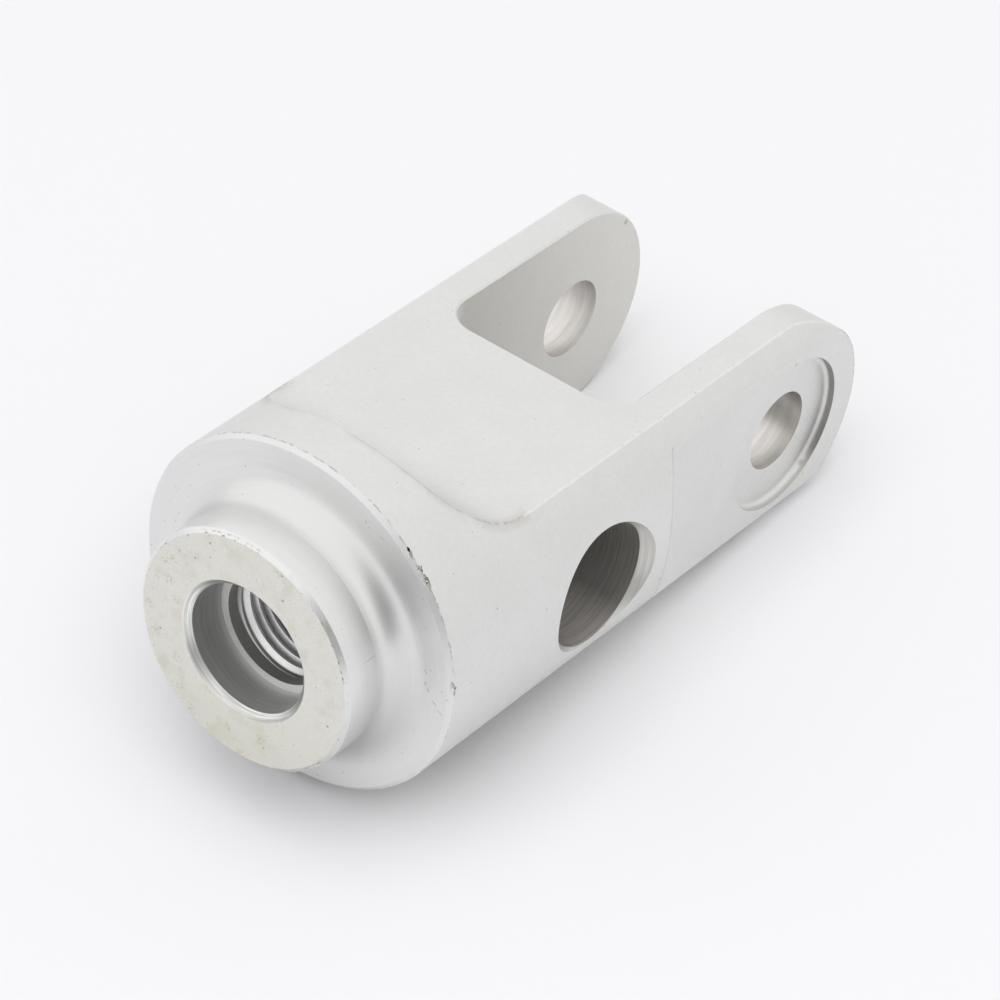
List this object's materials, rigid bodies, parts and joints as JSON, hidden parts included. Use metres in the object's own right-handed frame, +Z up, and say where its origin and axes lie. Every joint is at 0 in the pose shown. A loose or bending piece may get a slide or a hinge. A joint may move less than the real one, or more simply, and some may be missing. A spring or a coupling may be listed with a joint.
{
  "type": "clevis rod end",
  "caption": "Machined steel fork that screws onto a rod and carries a cross pin between its ears, with a wide cross hole through its round body.",
  "frame": {"origin": "centre of the pin bore, midway between the ears", "axes": "+X along the rod axis from the threaded collar to the open end of the fork, +Y along the pin, +Z up and square to the milled flats"},
  "size_m": [0.101, 0.05, 0.05],
  "materials": {
    "plated_steel": "satin silver plating, with bare turned steel in the bores"
  },
  "bodies": {
    "root": {"clevis_body": "plated_steel"}
  },
  "joints": []
}
